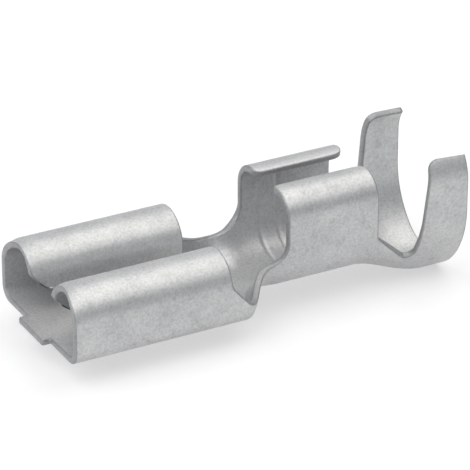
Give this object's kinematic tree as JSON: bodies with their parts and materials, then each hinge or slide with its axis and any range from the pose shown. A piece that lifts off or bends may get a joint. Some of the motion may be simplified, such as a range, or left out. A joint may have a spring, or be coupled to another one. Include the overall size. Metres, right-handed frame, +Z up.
{
  "type": "female spade terminal",
  "caption": "Open-barrel female spade terminal: a folded sheet receptacle with rolls that grip a flat tab, then a neck, a wire crimp barrel and an insulation crimp barrel.",
  "frame": {"origin": "on the underside of the receptacle floor, on the centre line, at the mouth edge beside the cut-off tongue", "axes": "+X from the mouth of the receptacle towards the wire end, +Y to the left of that direction, +Z up from the floor towards the rolls and wings"},
  "size_m": [0.0206, 0.0076, 0.0066],
  "materials": {
    "tinned_brass": "matte tin plating over brass, satin, light grey"
  },
  "bodies": {
    "root": {"terminal": "tinned_brass"}
  },
  "joints": []
}
